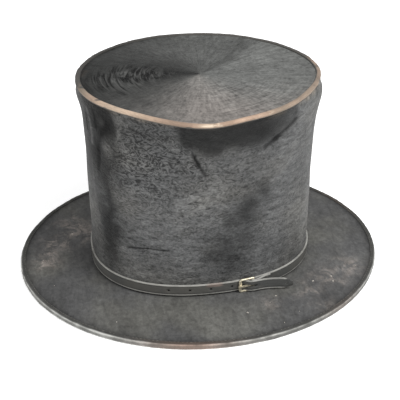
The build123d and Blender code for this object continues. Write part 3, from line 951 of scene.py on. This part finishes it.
def make_lining():
    """Satin sides, gathered a little at the tip, the tip's own disc, and the welt between them."""
    t = around(720)
    z = np.linspace(lining_foot, tip_lining_z - 0.4, 80)[:, None]
    flat = crown(t, z, -inside_depth)
    gathers = 90
    fold = 0.5 + 0.5 * np.sin(t * gathers + 1.5 * field(flat, 70, 51))
    slack = 0.05 + 0.9 * ramp(z, 60, 160) ** 1.5 * fold + 0.15 * (1 + field(flat, (50, 50, 90), 52))
    wall = crown(t, z, dents(t, z) - inside_depth - slack)
    wall[..., 2] = risen(t, z)
    grid("satin_side", wall, satin, replaced=["side_lining"])
    inward, up = slump(t)
    top, share = disc(crown(t, np.array([[tip_lining_z]]), -inside_depth - 0.1 - inward), 60)
    pull = ramp(share, 0.72, 1)
    swell = 4 * pull * (1 - pull) * (0.5 + 0.5 * np.sin(t * gathers))
    top[..., 2] = tip_lining_z - 0.25 - 0.72 * swell + up * share**5
    grid("satin_tip", top, satin, replaced=["tip_lining"])
    welt = crown(t, np.array([[tip_lining_z - 1.3]]), -inside_depth - 1.0)[0]
    ring = [tuple(p) for p in welt[::6]] + [tuple(welt[0])]
    threads("lining_welt", [ring], 0.75, satin)


def make_sweatband():
    """The leather band inside, its joint at the back, its stitches and the whipped piping at its foot."""
    t = around(640, 90)
    thick = 1.0
    back = sweatband_depth + thick
    profile = [(back, height) for height in np.linspace(sweatband_foot + 0.2, sweatband_top - 0.7, 60)]
    profile += [(sweatband_depth + thick * 0.8, sweatband_top - 0.15),
                (sweatband_depth + thick * 0.4, sweatband_top),
                (sweatband_depth + 0.1, sweatband_top - 0.3),
                (sweatband_depth, sweatband_top - 1.2),
                (sweatband_depth, sweatband_foot + 0.2)]
    depth, height = np.array(profile).T[..., None]
    flat = crown(t, height, -depth)
    lift = ramp(height, 6, 50)
    depth = depth + lift * (0.45 + 0.45 * field(flat, 60, 61)) + 0.08 * field(flat, 12, 62) * lift
    joint = bump(arc(t), at(90), 0.8)
    points = crown(t, height, -(depth - 0.7 * joint * (depth > sweatband_depth + 0.5)))
    grid("sweat_leather", points, sweat_leather, tube=True, replaced=["sweatband"])

    stitch_count = 150
    paths = []
    for i in range(stitch_count):
        angles = (np.array([0.0, 0.2, 0.4, 0.6]) + i) * TAU / stitch_count
        paths.append(crown(angles, np.full(4, 5.0), np.array([0.15, -0.12, -0.12, 0.15]) - back))
    y = float(crown(np.array([math.pi / 2]), np.array([8.0]), -back - 0.25)[0, 1])
    for row in range(9):
        h = 7.0 + 4.6 * row
        paths.append([(-1.6, y + 0.25, h), (-0.6, y - 0.25, h + 1.2), (0.6, y - 0.25, h + 1.2),
                      (1.6, y + 0.25, h + 2.4)])
    threads("sweat_stitches", paths, 0.22, thread_light, replaced=["sweatband_stitches"])

    path = crown(np.linspace(0, TAU, 160), np.full(160, 1.95), -4.65)
    threads("piping_cord", [path], 0.9, sweat_leather, replaced=["sweatband_piping"])
    wrap_count = 280
    wraps = []
    for i in range(wrap_count):
        angles = i * TAU / wrap_count + np.array([0, 0.004, 0.008, 0.012])
        wraps.append(crown(angles, np.array([1.1, 1.2, 2.4, 2.85]), np.array([-4.2, -5.35, -5.55, -4.7])))
    threads("piping_whipping", wraps, 0.12, thread_light)


def make_bow():
    """Ribbon bow on the back of the sweatband: two puffed loops, two short tails and a knot."""
    y_back, z_mid = 87.6, 24.0
    across = np.linspace(-1, 1, 9)[:, None]
    pieces = []
    for side in (-1, 1):
        a = np.linspace(-math.pi * 0.97, math.pi * 0.97, 34)[None, :]
        reach = 0.5 * (1 + np.cos(a))
        puff = 0.9 * np.sin(a) * np.sin(np.pi * np.clip(reach, 0.04, 1)) ** 0.7
        x = side * (1.2 + 11.3 * reach)
        y = y_back - 0.25 + puff + 0.25 * np.cos(across * 7 + a) * (1 - reach)
        z = z_mid + across * (1.3 + 3.9 * reach**0.8) + 0.6 * reach
        pieces.append(np.stack(np.broadcast_arrays(x, y, z), axis=-1))
        tail = np.linspace(0, 1, 14)[None, :]
        x = side * (1.0 + 7.5 * tail + 0.36 * across * (1 - tail))
        y = y_back + 0.55 + 0.15 * np.sin(tail * 6)
        z = z_mid - 1.5 - 8.0 * tail + across * (1.2 + 1.4 * tail) + 1.2 * np.abs(across) * tail
        pieces.append(np.stack(np.broadcast_arrays(x, y, z), axis=-1))
    a = np.linspace(0, TAU, 22, endpoint=False)[None, :]
    x = 2.2 * np.cos(a) * (1 - 0.15 * np.cos(across * 3))
    y = y_back + 1.35 * np.sin(a)
    z = z_mid + 2.3 * across + 0.2 * np.sin(a * 3)
    pieces.append(np.stack(np.broadcast_arrays(x, y, z), axis=-1))
    for i, points in enumerate(pieces):
        knot = i == len(pieces) - 1
        replaced = ["sweatband_bow"] if i == 0 else ()
        obj = grid(f"bow_{i}", points, ribbon_inside, wrap=knot, replaced=replaced)
        thicken = obj.modifiers.new("thick", "SOLIDIFY")
        thicken.thickness = 0.28 * MM
        thicken.offset = 0
        smooth = obj.modifiers.new("smooth", "SUBSURF")
        smooth.levels = smooth.render_levels = 1


# ---------------------------------------------------------------- band and buckle


def soften(node, width, material):
    """Rounds a CAD node's edges and gives it its material."""
    obj = nodes[node]
    weld = obj.modifiers.new("weld", "WELD")
    weld.merge_threshold = 0.002 * MM
    bevel = obj.modifiers.new("bevel", "BEVEL")
    bevel.width = width * MM
    bevel.segments = 3
    bevel.limit_method = "ANGLE"
    bevel.angle_limit = math.radians(40)
    bevel.harden_normals = True
    dress(node, material)


def dress(node, material):
    mesh = nodes[node].data
    mesh.materials.clear()
    mesh.materials.append(material)


# ---------------------------------------------------------------- the hat

make_side()
make_goss()
make_tip()
make_edge_seam()
make_brim_top()
make_brim_under()
make_binding()
make_lint()
make_lining()
make_sweatband()
make_bow()
strap_leather = strap_material()
brass = brass_material()
soften("hatband_strap", 0.28, strap_leather)
soften("buckle_frame", 0.12, brass)
soften("buckle_prong", 0.15, brass)
dress("chape_stitches", thread_dark)
dress("brim_edge_wire", steel_material())
for node in ("brim_board", "brim_collar"):
    dress(node, goss)


# ---------------------------------------------------------------- studio


def make_floor():
    mesh = bpy.data.meshes.new("floor")
    half, drop = 40, 0.0002
    corners = ((-half, -half), (half, -half), (half, half), (-half, half))
    mesh.from_pydata([(x, y, -drop) for x, y in corners], [], [(0, 1, 2, 3)])
    obj = bpy.data.objects.new("floor", mesh)
    bpy.context.scene.collection.objects.link(obj)
    mesh.materials.append(floor_material())


def make_light(name, place, target, size, power):
    light = bpy.data.lights.new(name, "AREA")
    light.shape = "DISK"
    light.size = size
    light.energy = power
    obj = bpy.data.objects.new(name, light)
    obj.location = place
    obj.rotation_euler = (Vector(target) - Vector(place)).to_track_quat("-Z", "Y").to_euler()
    bpy.context.scene.collection.objects.link(obj)


def make_camera():
    data = bpy.data.cameras.new("camera")
    data.lens = 72.05
    data.sensor_width = 36.0
    obj = bpy.data.objects.new("camera", data)
    obj.location = (0.5931, -0.1122, 0.4035)
    way = Vector((0.0001, 0.0006, 0.0491)) - obj.location
    obj.rotation_euler = way.to_track_quat("-Z", "Y").to_euler()
    bpy.context.scene.collection.objects.link(obj)
    bpy.context.scene.camera = obj


world = bpy.data.worlds.new("studio")
world.use_nodes = True
world.node_tree.nodes["Background"].inputs["Color"].default_value = (1, 1, 1, 1)
world.node_tree.nodes["Background"].inputs["Strength"].default_value = 0.65
bpy.context.scene.world = world
bpy.context.scene.view_settings.view_transform = "Standard"
make_floor()
make_light("key", (0.7, 0.7, 1.4), (0, 0, 0.08), 0.9, 30)
make_light("fill", (0.9, -1.1, 0.8), (0, 0, 0.08), 0.9, 10)
make_camera()
